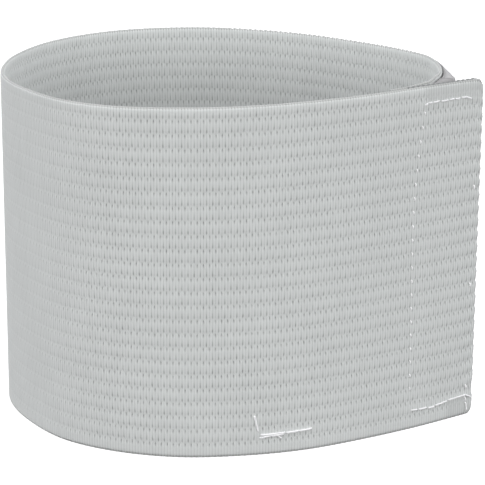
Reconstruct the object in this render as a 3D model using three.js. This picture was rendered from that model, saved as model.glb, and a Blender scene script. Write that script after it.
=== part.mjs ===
// A wide woven elastic armband, closed into a ring by a hook-and-loop tab.
// Millimetres, +Z up. The band stands on its lower edge, as it does when it is taken off the arm.
import * as THREE from 'three';

// Driving dimensions
const BAND_HEIGHT = 80;
const ELASTIC_THICKNESS = 1;
const HOOK_THICKNESS = 1;
const LOOP_THICKNESS = 1;
const PIECE_GAP = 0.3;
const UNDER_GAP = 0.45;

// Hem at the tab: the strip's end is turned back on itself round a tight fold
const HEM_LENGTH = 19;
const HEM_GAP = 0.2;
const HEM_CLEARANCE = 0.5;
const HEM_STEP_RUN = 3;
const UPPER_CORNER_DROP = 2.6;
const LOWER_CORNER_RISE = 2.3;
const CORNER_REACH = 2.2;

// Tapes of the closure, their lengths taken along the strip
const HOOK_LENGTH = 56;
const HOOK_EDGE_MARGIN = 3;
const HOOK_END_MARGIN = 1.2;
const LOOP_EDGE_MARGIN = 0.8;

// Where the strip's free end and its loop tape lie behind the tab, taken back along the front face from
// the tab's fold, and where the loop tape lies on the back, taken along the strip from its free end
const UNDER_PLACES = [21, 17.5, 14, 10.4];
const LOOP_UNDER_PLACES = [20.6, 17, 13.5, 10, 7];
const LOOP_BACK_PLACES = [32, 35, 38, 42];
const UNDER_STEP_RUN = 8;

// The free end and its tape sit a little low behind the tab, up to a distance from their ends
const FREE_END_DROP = 1.1;
const FREE_END_FLAT = 3;
const FREE_END_RUN = 15;

// Mesh fineness
const SAMPLES_PER_SPAN = 5;
const FOLD_STEPS = 10;
const HEM_STEPS = 10;
const TAPE_STEPS = 40;

// Outer face of the strip, seen from above: from the turn at the right, along the back, round the left
// and along the front to the tab. Each place is given at the lower and at the upper edge of the strip.
const BEND = [
  { x: 43.8, y: 30.4, upperX: 43.8, upperY: 30.8 },
  { x: 45.1, y: 34.6, upperX: 45.1, upperY: 34.6 },
  { x: 45.75, y: 39.6, upperX: 45.75, upperY: 39.6 },
];
const RING = [
  { x: 45.5, y: 45.2, upperX: 45.5, upperY: 45.2 },
  { x: 43.6, y: 53.0, upperX: 43.6, upperY: 53.0 },
  { x: 37.7, y: 60.8, upperX: 37.7, upperY: 60.8 },
  { x: 30.1, y: 67.7, upperX: 30.1, upperY: 67.7 },
  { x: 15.0, y: 78.6, upperX: 15.0, upperY: 78.6 },
  { x: -1.0, y: 84.9, upperX: -1.0, upperY: 84.9 },
  { x: -17.0, y: 86.0, upperX: -17.0, upperY: 86.0 },
  { x: -33.0, y: 81.6, upperX: -32.6, upperY: 81.6 },
  { x: -46.6, y: 70.4, upperX: -46.0, upperY: 70.1 },
  { x: -54.4, y: 55.2, upperX: -53.8, upperY: 53.6 },
  { x: -56.0, y: 42.5, upperX: -55.3, upperY: 39.5 },
  { x: -54.6, y: 33.4, upperX: -53.8, upperY: 30.0 },
  { x: -50.1, y: 23.2, upperX: -49.6, upperY: 20.9 },
  { x: -41.0, y: 11.1, upperX: -39.6, upperY: 8.3 },
  { x: -29.0, y: 3.8, upperX: -28.2, upperY: 1.9 },
  { x: -14.6, y: 0.2, upperX: -14.2, upperY: 0.1 },
  { x: 0.0, y: 1.0, upperX: 0.0, upperY: 1.3 },
  { x: 14.0, y: 4.5, upperX: 14.0, upperY: 5.8 },
  { x: 28.2, y: 11.3, upperX: 28.2, upperY: 12.6 },
  { x: 40.6, y: 18.6, upperX: 40.4, upperY: 20.2 },
  { x: 53.2, y: 27.3, upperX: 53.7, upperY: 28.1 },
];

// Outer face of the loop tape where it stands off the strip round the turn
const LOOP_BEND = [
  { x: 48.3, y: 30.2, upperX: 48.4, upperY: 31 },
  { x: 48.15, y: 35.0, upperX: 48.15, upperY: 35.0 },
  { x: 47.45, y: 40.5, upperX: 47.45, upperY: 40.5 },
];

const EDGES = [
  { x: 'x', y: 'y' },
  { x: 'upperX', y: 'upperY' },
];

// Depths behind the outer face of the tab, where the hem lies and beyond it
const HEM_DEPTH = 2 * ELASTIC_THICKNESS + HEM_GAP;
const HOOK_DEPTH = { hem: HEM_DEPTH + PIECE_GAP, plain: ELASTIC_THICKNESS + PIECE_GAP };

function smoothStep(low, high, value) {
  const t = Math.min(Math.max((value - low) / (high - low), 0), 1);
  return t * t * (3 - 2 * t);
}

function curveThrough(points) {
  return new THREE.CatmullRomCurve3(points, false, 'centripetal');
}

function planPoint(row, edge) {
  return new THREE.Vector3(row[edge.x], row[edge.y], 0);
}

// A point at a place along a curve, moved to the left of its direction, which is the band's inner side
function besideCurve(curve, place, depth) {
  const at = THREE.MathUtils.clamp(place / curve.getLength(), 0, 1);
  const tangent = curve.getTangentAt(at);
  return curve.getPointAt(at).add(new THREE.Vector3(-tangent.y, tangent.x, 0).multiplyScalar(depth));
}

// How deep a layer lies that crosses the hem's edge, at a distance back from the tab's fold
function layerDepth(back, stepRun) {
  const pastHem = smoothStep(HEM_LENGTH + HEM_CLEARANCE, HEM_LENGTH + HEM_CLEARANCE + stepRun, back);
  return THREE.MathUtils.lerp(HOOK_DEPTH.hem, HOOK_DEPTH.plain, pastHem);
}

// Outer face of the loop tape behind the tab, which bridges the step that the hook tape follows
function loopDepth(back) {
  return layerDepth(back, UNDER_STEP_RUN) + HOOK_THICKNESS + PIECE_GAP;
}

function ringCurve(edge) {
  return curveThrough(RING.map((row) => planPoint(row, edge)));
}

// Outer face of the whole strip from its free end behind the tab to the tab's fold
function stripCurve(edge) {
  const ring = ringCurve(edge);
  const under = UNDER_PLACES.map((back) =>
    besideCurve(ring, ring.getLength() - back, loopDepth(back) + LOOP_THICKNESS + UNDER_GAP),
  );
  const rest = [...BEND, ...RING].map((row) => planPoint(row, edge));
  return curveThrough([...under, ...rest]);
}

// Places of the strip's outer face: the strip, then the fold, then the hem that comes back behind the tab.
// The side of each place points into the cloth. The distance to the fold rounds off the tab's corners.
function elasticPath(edge) {
  const curve = stripCurve(edge);
  const spans = curve.points.length - 1;
  const steps = spans * SAMPLES_PER_SPAN;
  const places = [];
  for (let step = 0; step <= steps; step += 1) {
    const tangent = curve.getTangent(step / steps);
    const point = curve.getPoint(step / steps);
    places.push({ point, side: new THREE.Vector3(-tangent.y, tangent.x, 0) });
  }
  const end = places[places.length - 1];
  const radius = HEM_DEPTH / 2;
  const centre = end.point.clone().addScaledVector(end.side, radius);
  for (let step = 1; step < FOLD_STEPS; step += 1) {
    const turn = (Math.PI * step) / FOLD_STEPS;
    const side = end.side.clone().applyAxisAngle(new THREE.Vector3(0, 0, 1), turn);
    places.push({ point: centre.clone().addScaledVector(side, -radius), side });
  }
  const ring = ringCurve(edge);
  for (let step = 0; step <= HEM_STEPS; step += 1) {
    const back = (HEM_LENGTH * step) / HEM_STEPS;
    const place = ring.getLength() - back;
    const outer = besideCurve(ring, place, HEM_DEPTH);
    const inner = besideCurve(ring, place, 0);
    places.push({ point: outer, side: inner.sub(outer).normalize() });
  }
  return places;
}

// A closed strip of cloth between two depths behind a path, from a lower to an upper edge.
// Each place holds a point and the side towards which depth grows, at both edges.
function stripGeometry(lower, upper, near, far, edgeHeights) {
  const positions = [];
  lower.forEach((low, index) => {
    const high = upper[index];
    const { bottom, top } = edgeHeights(index);
    const corners = [
      low.point.clone().addScaledVector(low.side, near).setZ(bottom),
      low.point.clone().addScaledVector(low.side, far).setZ(bottom),
      high.point.clone().addScaledVector(high.side, far).setZ(top),
      high.point.clone().addScaledVector(high.side, near).setZ(top),
    ];
    corners.forEach((corner) => positions.push(corner.x, corner.y, corner.z));
  });
  const indices = [];
  for (let section = 0; section < lower.length - 1; section += 1) {
    for (let corner = 0; corner < 4; corner += 1) {
      const here = section * 4 + corner;
      const next = section * 4 + ((corner + 1) % 4);
      indices.push(here, next, here + 4, next, next + 4, here + 4);
    }
  }
  const last = (lower.length - 1) * 4;
  indices.push(0, 2, 1, 0, 3, 2);
  indices.push(last, last + 1, last + 2, last, last + 2, last + 3);
  const geometry = new THREE.BufferGeometry();
  geometry.setAttribute('position', new THREE.Float32BufferAttribute(positions, 3));
  geometry.setIndex(indices);
  geometry.computeVertexNormals();
  return geometry;
}

// How far the upper edge of a layer that starts behind the tab lies below the band's
function freeEndDrop(path, index) {
  const away = index < path.length / 2 ? path[index].point.distanceTo(path[0].point) : FREE_END_RUN;
  return FREE_END_DROP * (1 - smoothStep(FREE_END_FLAT, FREE_END_RUN, away));
}

// The strip is full height but for its free end and its two corners at the fold, which are rounded off
function elasticGeometry() {
  const paths = EDGES.map(elasticPath);
  const foldCentre = paths[0].length - 1 - HEM_STEPS - FOLD_STEPS / 2;
  const fold = paths[0][foldCentre].point;
  return stripGeometry(paths[0], paths[1], 0, ELASTIC_THICKNESS, (index) => {
    const nearFold = index > foldCentre - 2 * SAMPLES_PER_SPAN;
    const away = nearFold ? paths[0][index].point.distanceTo(fold) : CORNER_REACH;
    const corner = 1 - smoothStep(0, CORNER_REACH, away);
    return {
      bottom: LOWER_CORNER_RISE * corner,
      top: BAND_HEIGHT - UPPER_CORNER_DROP * corner - freeEndDrop(paths[0], index),
    };
  });
}

// The hook tape lies on the inner face of the front and over the hem
function hookGeometry() {
  const paths = EDGES.map((edge) => {
    const ring = ringCurve(edge);
    return Array.from({ length: TAPE_STEPS + 1 }, (_, step) => {
      const back = HOOK_END_MARGIN + (HOOK_LENGTH * (TAPE_STEPS - step)) / TAPE_STEPS;
      const place = ring.getLength() - back;
      const depth = layerDepth(back, HEM_STEP_RUN);
      const point = besideCurve(ring, place, depth);
      const inner = besideCurve(ring, place, depth + HOOK_THICKNESS);
      return { point, side: inner.sub(point).normalize() };
    });
  });
  return stripGeometry(paths[0], paths[1], 0, HOOK_THICKNESS, () => ({
    bottom: HOOK_EDGE_MARGIN,
    top: BAND_HEIGHT - HOOK_EDGE_MARGIN,
  }));
}

// Outer face of the loop tape: behind the tab, round the turn on its own, then on the strip's outer face
function loopCurve(edge) {
  const ring = ringCurve(edge);
  const strip = stripCurve(edge);
  const under = LOOP_UNDER_PLACES.map((back) =>
    besideCurve(ring, ring.getLength() - back, loopDepth(back)),
  );
  const bend = LOOP_BEND.map((row) => planPoint(row, edge));
  const back = LOOP_BACK_PLACES.map((place) => besideCurve(strip, place, -LOOP_THICKNESS - PIECE_GAP));
  return curveThrough([...under, ...bend, ...back]);
}

function loopGeometry() {
  const paths = EDGES.map((edge) => {
    const curve = loopCurve(edge);
    return Array.from({ length: TAPE_STEPS + 1 }, (_, step) => {
      const place = (curve.getLength() * step) / TAPE_STEPS;
      const point = besideCurve(curve, place, 0);
      const inner = besideCurve(curve, place, LOOP_THICKNESS);
      return { point, side: inner.sub(point).normalize() };
    });
  });
  return stripGeometry(paths[0], paths[1], 0, LOOP_THICKNESS, (index) => ({
    bottom: LOOP_EDGE_MARGIN,
    top: BAND_HEIGHT - LOOP_EDGE_MARGIN - freeEndDrop(paths[0], index),
  }));
}

function piece(name, geometry, color, roughness) {
  const mesh = new THREE.Mesh(geometry, new THREE.MeshStandardMaterial({ color, roughness, metalness: 0 }));
  mesh.name = name;
  return mesh;
}

const armband = new THREE.Group();
armband.add(piece('elastic_band', elasticGeometry(), 0xc0c4c3, 0.85));
armband.add(piece('hook_tape', hookGeometry(), 0xb4b6b6, 0.7));
armband.add(piece('loop_tape', loopGeometry(), 0x9f9d9e, 0.95));

// The origin is the middle of the band's box, on the surface that it stands on
const middle = new THREE.Box3().setFromObject(armband).getCenter(new THREE.Vector3());
armband.position.set(-middle.x, -middle.y, 0);

export default armband;
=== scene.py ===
"""A wide pale grey armband of woven elastic, closed into a ring by a sewn hook-and-loop tab.

The strip, its two edges, the two tapes of the closure and the white sewing thread each have a class.
Plan places are in millimetres, the same ones as in the part's source, and every mesh is in metres.
"""

import logging
import math
from collections.abc import Callable
from dataclasses import dataclass, replace
from enum import Enum

import bpy
import numpy as np
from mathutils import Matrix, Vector


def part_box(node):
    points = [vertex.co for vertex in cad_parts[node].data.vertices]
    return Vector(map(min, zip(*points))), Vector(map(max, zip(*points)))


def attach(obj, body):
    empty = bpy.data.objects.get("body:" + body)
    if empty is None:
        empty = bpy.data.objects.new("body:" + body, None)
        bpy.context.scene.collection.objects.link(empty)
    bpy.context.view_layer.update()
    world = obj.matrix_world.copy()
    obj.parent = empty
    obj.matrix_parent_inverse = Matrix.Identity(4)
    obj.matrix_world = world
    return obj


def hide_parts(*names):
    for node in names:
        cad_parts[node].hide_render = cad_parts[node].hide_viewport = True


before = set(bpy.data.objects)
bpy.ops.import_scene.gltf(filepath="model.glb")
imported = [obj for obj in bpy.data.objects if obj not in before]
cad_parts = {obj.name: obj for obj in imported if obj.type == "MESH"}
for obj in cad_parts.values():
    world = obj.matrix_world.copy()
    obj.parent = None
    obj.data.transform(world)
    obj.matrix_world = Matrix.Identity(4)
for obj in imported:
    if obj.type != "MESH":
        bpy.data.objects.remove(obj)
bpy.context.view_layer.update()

LOG = logging.getLogger("armband")
MM = 0.001
SEED = 7
NOISE_MEAN = 0.5
BODY = "root"
BAND_HEIGHT = 80.0
ELASTIC_THICKNESS = 1.0
HOOK_THICKNESS = 1.0
LOOP_THICKNESS = 1.0
PIECE_GAP = 0.3
UNDER_GAP = 0.45
HEM_LENGTH = 19.0
HEM_GAP = 0.2
HEM_CLEARANCE = 0.5
HEM_STEP_RUN = 3.0
HEM_DEPTH = 2 * ELASTIC_THICKNESS + HEM_GAP
UPPER_CORNER_DROP = 2.6
LOWER_CORNER_RISE = 2.3
CORNER_REACH = 2.2
HOOK_LENGTH = 56.0
HOOK_EDGE_MARGIN = 3.0
HOOK_END_MARGIN = 1.2
LOOP_EDGE_MARGIN = 0.8
UNDER_STEP_RUN = 8.0

# How far back from the tab's fold the hidden lines have their points, and how far along the strip.
UNDER_PLACES = (21.0, 17.5, 14.0, 10.4)
LOOP_UNDER_PLACES = (20.6, 17.0, 13.5, 10.0, 7.0)
LOOP_BACK_PLACES = (32.0, 35.0, 38.0, 42.0)

FREE_END_DROP = 1.1
FREE_END_FLAT = 3.0
FREE_END_RUN = 15.0
TAB_SEAM_LENGTH = 16.0

GROUND_STATION_PITCH = 0.5
GROUND_ROWS = 70
GROUND_EDGE_SHARE = 0.55

# Where a face of the strip lies on its map: two lanes, each with its blocks one above the other.
MAP_LANE = 0.5
MAP_MARGIN = 0.004
MAP_LENGTH = 0.99
MAP_FRONT = (0.012, 0.452)
MAP_BACK = (0.46, 0.468)
MAP_UPPER_RIM = (0.476, 0.482)
MAP_LOWER_RIM = (0.488, 0.494)
MAP_CAP_WIDTH = 0.003
MAP_END = 0.9965


class Edge(Enum):
    """The two edges of the strip, which the plan gives one place each."""

    LOWER = "lower"
    UPPER = "upper"


class Face(Enum):
    """The two faces of the woven strip."""

    OUTER = "outer"
    INNER = "inner"


@dataclass(frozen=True)
class PlanPlace:
    """A place of an outer face seen from above, at the strip's lower and upper edge."""

    x: float
    y: float
    upper_x: float
    upper_y: float

    def at(self, edge: Edge) -> tuple[float, float]:
        """The place at one edge."""
        return (self.x, self.y) if edge is Edge.LOWER else (self.upper_x, self.upper_y)


BEND = (
    PlanPlace(43.8, 30.4, 43.8, 30.8),
    PlanPlace(45.1, 34.6, 45.1, 34.6),
    PlanPlace(45.75, 39.6, 45.75, 39.6),
)
RING = (
    PlanPlace(45.5, 45.2, 45.5, 45.2),
    PlanPlace(43.6, 53.0, 43.6, 53.0),
    PlanPlace(37.7, 60.8, 37.7, 60.8),
    PlanPlace(30.1, 67.7, 30.1, 67.7),
    PlanPlace(15.0, 78.6, 15.0, 78.6),
    PlanPlace(-1.0, 84.9, -1.0, 84.9),
    PlanPlace(-17.0, 86.0, -17.0, 86.0),
    PlanPlace(-33.0, 81.6, -32.6, 81.6),
    PlanPlace(-46.6, 70.4, -46.0, 70.1),
    PlanPlace(-54.4, 55.2, -53.8, 53.6),
    PlanPlace(-56.0, 42.5, -55.3, 39.5),
    PlanPlace(-54.6, 33.4, -53.8, 30.0),
    PlanPlace(-50.1, 23.2, -49.6, 20.9),
    PlanPlace(-41.0, 11.1, -39.6, 8.3),
    PlanPlace(-29.0, 3.8, -28.2, 1.9),
    PlanPlace(-14.6, 0.2, -14.2, 0.1),
    PlanPlace(0.0, 1.0, 0.0, 1.3),
    PlanPlace(14.0, 4.5, 14.0, 5.8),
    PlanPlace(28.2, 11.3, 28.2, 12.6),
    PlanPlace(40.6, 18.6, 40.4, 20.2),
    PlanPlace(53.2, 27.3, 53.7, 28.1),
)
LOOP_BEND = (
    PlanPlace(48.3, 30.2, 48.4, 31.0),
    PlanPlace(48.15, 35.0, 48.15, 35.0),
    PlanPlace(47.45, 40.5, 47.45, 40.5),
)


def smooth_step(low: float, high: float, value: np.ndarray | float) -> np.ndarray:
    """A value's eased share of the way from low to high.

    Args:
        low: The value that gives 0.
        high: The value that gives 1.
        value: The values.

    Returns:
        The shares, from 0 to 1.
    """
    share = np.clip((np.asarray(value, float) - low) / (high - low), 0.0, 1.0)
    return share * share * (3.0 - 2.0 * share)


def unit(vectors: np.ndarray) -> np.ndarray:
    """The vectors of the last axis, each made one long."""
    return vectors / np.linalg.norm(vectors, axis=-1, keepdims=True)


def left_of(direction: np.ndarray) -> np.ndarray:
    """Plan directions turned a quarter to the left."""
    return np.stack([-direction[..., 1], direction[..., 0]], axis=-1)


class SmoothLine:
    """A centripetal Catmull-Rom line through places of the plan."""

    STEPS_PER_SPAN = 60

    def __init__(self, places: list[tuple[float, float]]) -> None:
        """Samples the line.

        Args:
            places: The places that it passes through, in millimetres.
        """
        knots = np.array(places, float)
        padded = np.vstack([2 * knots[0] - knots[1], knots, 2 * knots[-1] - knots[-2]])
        share = np.linspace(0.0, 1.0, self.STEPS_PER_SPAN, endpoint=False)[:, None]
        spans = [self._span(padded[index : index + 4], share) for index in range(len(knots) - 1)]
        self.points = np.vstack([*spans, knots[-1:]])
        steps = np.linalg.norm(np.diff(self.points, axis=0), axis=1)
        self.places = np.concatenate([[0.0], np.cumsum(steps)])
        self.tangents = unit(np.gradient(self.points, self.places, axis=0))

    @staticmethod
    def _span(knots: np.ndarray, share: np.ndarray) -> np.ndarray:
        """The points between the middle two of four knots.

        Args:
            knots: Four knots.
            share: How far along the span each point lies, as a column.

        Returns:
            The points.
        """
        before, start, end, after = knots
        gap_before, gap, gap_after = np.sqrt(np.linalg.norm(np.diff(knots, axis=0), axis=1))
        leave = (start - before) / gap_before - (end - before) / (gap_before + gap) + (end - start) / gap
        arrive = (end - start) / gap - (after - start) / (gap + gap_after) + (after - end) / gap_after
        leave, arrive = leave * gap, arrive * gap
        square = -3 * start + 3 * end - 2 * leave - arrive
        cube = 2 * start - 2 * end + leave + arrive
        return start + leave * share + square * share**2 + cube * share**3

    @property
    def length(self) -> float:
        """The line's length."""
        return float(self.places[-1])

    def point(self, place: np.ndarray) -> np.ndarray:
        """The points at places along the line."""
        return np.stack([np.interp(place, self.places, self.points[:, axis]) for axis in (0, 1)], axis=-1)

    def inward(self, place: np.ndarray) -> np.ndarray:
        """The directions to the left of the line at places along it."""
        tangent = [np.interp(place, self.places, self.tangents[:, axis]) for axis in (0, 1)]
        return left_of(unit(np.stack(tangent, axis=-1)))

    def beside(self, place: np.ndarray, depth: np.ndarray) -> np.ndarray:
        """Points to the left of the line.

        Args:
            place: Places along the line.
            depth: How far to its left, for each place.

        Returns:
            The points.
        """
        return self.point(place) + self.inward(place) * np.asarray(depth, float)[..., None]


def layer_depth(back: np.ndarray, step_run: float) -> np.ndarray:
    """How deep a layer lies that crosses the hem's edge.

    Args:
        back: Distances back from the tab's fold.
        step_run: The length over which the layer comes down from the hem.

    Returns:
        Depths behind the outer face.
    """
    edge = HEM_LENGTH + HEM_CLEARANCE
    plain = ELASTIC_THICKNESS + PIECE_GAP
    over_hem = HEM_DEPTH + PIECE_GAP
    return over_hem + (plain - over_hem) * smooth_step(edge, edge + step_run, back)


def loop_depth(back: np.ndarray) -> np.ndarray:
    """Depth of the loop tape's outer face behind the tab, at distances back from the fold."""
    return layer_depth(back, UNDER_STEP_RUN) + HOOK_THICKNESS + PIECE_GAP


def free_end_drop(points: np.ndarray) -> np.ndarray:
    """How far the upper edge of a layer that starts behind the tab lies below the band's.

    Args:
        points: The layer's outer face at its lower edge.

    Returns:
        The drops.
    """
    away = np.linalg.norm(points - points[0], axis=1)
    away[len(points) // 2 :] = FREE_END_RUN
    return FREE_END_DROP * (1.0 - smooth_step(FREE_END_FLAT, FREE_END_RUN, away))


@dataclass
class Route:
    """The outer face of a strip of cloth along its length, at its lower and upper edge.

    Each edge has points and the directions that point into the cloth, and each station has two heights.
    """

    points: dict[Edge, np.ndarray]
    sides: dict[Edge, np.ndarray]
    bottom: np.ndarray
    top: np.ndarray
    places: np.ndarray | None = None

    def __post_init__(self) -> None:
        """Measures the route along its lower edge, where its places aren't given."""
        if self.places is None:
            steps = np.linalg.norm(np.diff(self.points[Edge.LOWER], axis=0), axis=1)
            self.places = np.concatenate([[0.0], np.cumsum(steps)])

    @property
    def length(self) -> float:
        """The route's length, in millimetres."""
        return float(self.places[-1])

    def sampled(self, places: np.ndarray) -> "Route":
        """The same route with stations at other places along it.

        Args:
            places: Places along the route.

        Returns:
            The new route.
        """

        def read(values: np.ndarray) -> np.ndarray:
            """One row of values for each place."""
            return np.stack([np.interp(places, self.places, column) for column in values.T], axis=-1)

        return Route(
            {edge: read(self.points[edge]) for edge in Edge},
            {edge: unit(read(self.sides[edge])) for edge in Edge},
            np.interp(places, self.places, self.bottom),
            np.interp(places, self.places, self.top),
            np.asarray(places, float),
        )

    def surface(
        self,
        heights: np.ndarray,
        depth: np.ndarray | float,
        along: np.ndarray | float = 0.0,
        rise: np.ndarray | float = 0.0,
    ) -> np.ndarray:
        """Points in and on the cloth.

        Args:
            heights: Heights on the full strip, for each station and row, or for each row.
            depth: Depth behind the outer face.
            along: Shift along the strip.
            rise: Shift upwards.

        Returns:
            Points in millimetres, for each station and row.
        """
        shape = (len(self.places), np.shape(heights)[-1])
        upper = np.broadcast_to(np.asarray(heights, float) / BAND_HEIGHT, shape)[..., None]
        plan, side = (
            part[Edge.LOWER][:, None] * (1 - upper) + part[Edge.UPPER][:, None] * upper
            for part in (self.points, self.sides)
        )
        side = unit(side)
        depth, along, rise = (np.broadcast_to(value, shape)[..., None] for value in (depth, along, rise))
        flat = plan + side * depth - left_of(side) * along
        level = self.bottom[:, None, None] + (self.top - self.bottom)[:, None, None] * upper + rise
        return np.concatenate([flat, level], axis=-1)


class Plan:
    """The lines of the strip and of its tapes, seen from above, and the routes along them."""

    STRIP_STEPS = 1500
    FOLD_STEPS = 24
    HEM_STEPS = 60
    TAPE_STEPS = 400

    def __init__(self) -> None:
        """Works the lines out from the tables."""
        self.ring = {edge: SmoothLine([row.at(edge) for row in RING]) for edge in Edge}
        self.strip = {edge: self._strip(edge) for edge in Edge}
        self.loop = {edge: self._loop(edge) for edge in Edge}

    def _strip(self, edge: Edge) -> SmoothLine:
        """The strip's outer face from its free end behind the tab to the tab's fold.

        Args:
            edge: Which edge of the strip.

        Returns:
            The line.
        """
        ring = self.ring[edge]
        back = np.array(UNDER_PLACES)
        under = ring.beside(ring.length - back, loop_depth(back) + LOOP_THICKNESS + UNDER_GAP)
        return SmoothLine([*map(tuple, under), *(row.at(edge) for row in (*BEND, *RING))])

    def _loop(self, edge: Edge) -> SmoothLine:
        """The loop tape's outer face: behind the tab, round the turn, then on the strip's outer face.

        Args:
            edge: Which edge of the tape.

        Returns:
            The line.
        """
        ring = self.ring[edge]
        back = np.array(LOOP_UNDER_PLACES)
        under = ring.beside(ring.length - back, loop_depth(back))
        stand_off = np.full(len(LOOP_BACK_PLACES), -LOOP_THICKNESS - PIECE_GAP)
        behind = self.strip[edge].beside(np.array(LOOP_BACK_PLACES), stand_off)
        bend = [row.at(edge) for row in LOOP_BEND]
        return SmoothLine([*map(tuple, under), *bend, *map(tuple, behind)])

    def elastic_route(self) -> Route:
        """The whole elastic strip: from its free end to the tab's fold, round it and along the hem.

        Returns:
            The route, with the tab's two corners rounded off.
        """
        points, sides = {}, {}
        for edge in Edge:
            strip, ring = self.strip[edge], self.ring[edge]
            place = np.linspace(0.0, strip.length, self.STRIP_STEPS + 1)
            inward = strip.inward(place)
            radius = HEM_DEPTH / 2
            centre = strip.points[-1] + inward[-1] * radius
            turn = np.linspace(0.0, math.pi, self.FOLD_STEPS + 1)[1:-1, None]
            fold_side = inward[-1] * np.cos(turn) + left_of(inward[-1]) * np.sin(turn)
            hem_place = ring.length - np.linspace(0.0, HEM_LENGTH, self.HEM_STEPS + 1)
            hem = ring.beside(hem_place, np.full(self.HEM_STEPS + 1, HEM_DEPTH))
            points[edge] = np.vstack([strip.point(place), centre - fold_side * radius, hem])
            sides[edge] = np.vstack([inward, fold_side, -ring.inward(hem_place)])
        fold_middle = points[Edge.LOWER][self.STRIP_STEPS + self.FOLD_STEPS // 2]
        reach = np.linalg.norm(points[Edge.LOWER] - fold_middle, axis=1)
        reach[: self.STRIP_STEPS // 2] = CORNER_REACH
        corner = 1.0 - smooth_step(0.0, CORNER_REACH, reach)
        top = BAND_HEIGHT - UPPER_CORNER_DROP * corner - free_end_drop(points[Edge.LOWER])
        return Route(points, sides, LOWER_CORNER_RISE * corner, top)

    def loop_route(self) -> Route:
        """The loop tape, as wide as the strip but for a small margin.

        Returns:
            The route.
        """
        points, sides = {}, {}
        for edge, line in self.loop.items():
            place = np.linspace(0.0, line.length, self.TAPE_STEPS + 1)
            points[edge] = line.point(place)
            sides[edge] = line.inward(place)
        bottom = np.full(self.TAPE_STEPS + 1, LOOP_EDGE_MARGIN)
        return Route(points, sides, bottom, BAND_HEIGHT - bottom - free_end_drop(points[Edge.LOWER]))

    def hook_route(self) -> Route:
        """The hook tape on the inner face of the front and over the hem.

        Returns:
            The route.
        """
        back = HOOK_END_MARGIN + HOOK_LENGTH * np.linspace(1.0, 0.0, self.TAPE_STEPS + 1)
        depth = layer_depth(back, HEM_STEP_RUN)
        points, sides = {}, {}
        for edge, ring in self.ring.items():
            points[edge] = ring.beside(ring.length - back, depth)
            sides[edge] = ring.inward(ring.length - back)
        bottom = np.full(self.TAPE_STEPS + 1, HOOK_EDGE_MARGIN)
        return Route(points, sides, bottom, BAND_HEIGHT - bottom)

    def shift(self, route: Route) -> np.ndarray:
        """What takes plan places to the model's own frame.

        Args:
            route: The elastic strip's route.

        Returns:
            The shift in millimetres.
        """
        low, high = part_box("elastic_band")
        middle = np.array((low + high) / 2)[:2] / MM
        places = np.vstack(list(route.points.values()))
        return np.append(middle - (places.min(axis=0) + places.max(axis=0)) / 2, 0.0)


def cell_corners(grid: np.ndarray) -> np.ndarray:
    """The corners of each cell of a grid, in order round it.

    Args:
        grid: Values on the grid, whose last two axes are its directions.

    Returns:
        The values, with the four corners as the last axis.
    """
    return np.stack(
        [grid[..., :-1, :-1], grid[..., 1:, :-1], grid[..., 1:, 1:], grid[..., :-1, 1:]], axis=-1
    )


def mirrored(cells: np.ndarray) -> np.ndarray:
    """Turns the order of the corners of two stations in four, so that cells split alike on both sides.

    Args:
        cells: Values with the axes station, row and corner, and any others after them.

    Returns:
        The turned values.
    """
    turned = np.isin(np.arange(len(cells)) % 4, (0, 1)).reshape(-1, *[1] * (cells.ndim - 1))
    return np.where(turned, np.roll(cells, 1, axis=2), cells)


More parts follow.
